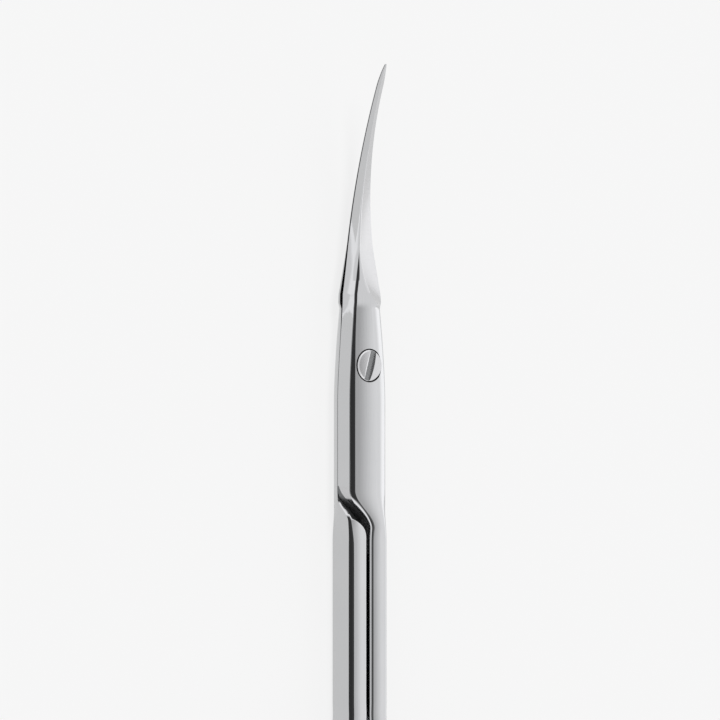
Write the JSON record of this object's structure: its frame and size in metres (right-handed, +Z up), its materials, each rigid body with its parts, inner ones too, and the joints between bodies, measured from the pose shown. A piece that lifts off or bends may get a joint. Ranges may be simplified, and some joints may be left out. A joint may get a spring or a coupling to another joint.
{
  "type": "cuticle scissors",
  "caption": "Slim polished steel cuticle scissors with short blades that curve upwards, a slotted tension screw, close parallel shanks and oval finger rings.",
  "frame": {"origin": "on the pivot axis, at the flat outer face of the lower half, on which the scissors rest", "axes": "+X towards the blade tips, +Z up along the pivot axis through the screw head, the way the tips curve; +Y towards the lower half's finger ring"},
  "size_m": [0.1066, 0.0532, 0.0063],
  "materials": {
    "lower_steel": "mirror polished stainless steel",
    "upper_steel": "mirror polished stainless steel",
    "screw_steel": "turned and polished stainless steel"
  },
  "bodies": {
    "lower_half": {"lower_half": "lower_steel"},
    "upper_half": {"upper_half": "upper_steel"},
    "screw": {"pivot_screw": "screw_steel"}
  },
  "joints": [
    {"name": "blade_pivot", "type": "hinge", "parent": "lower_half", "child": "upper_half", "pos_m": [0, 0, 0.00168], "axis": [0, 0, 1], "range_deg": [0, 60]},
    {"name": "tension_screw", "type": "hinge", "parent": "lower_half", "child": "screw", "pos_m": [0, 0, 0.00168], "axis": [0, 0, 1], "range_deg": [-45, 45]}
  ]
}
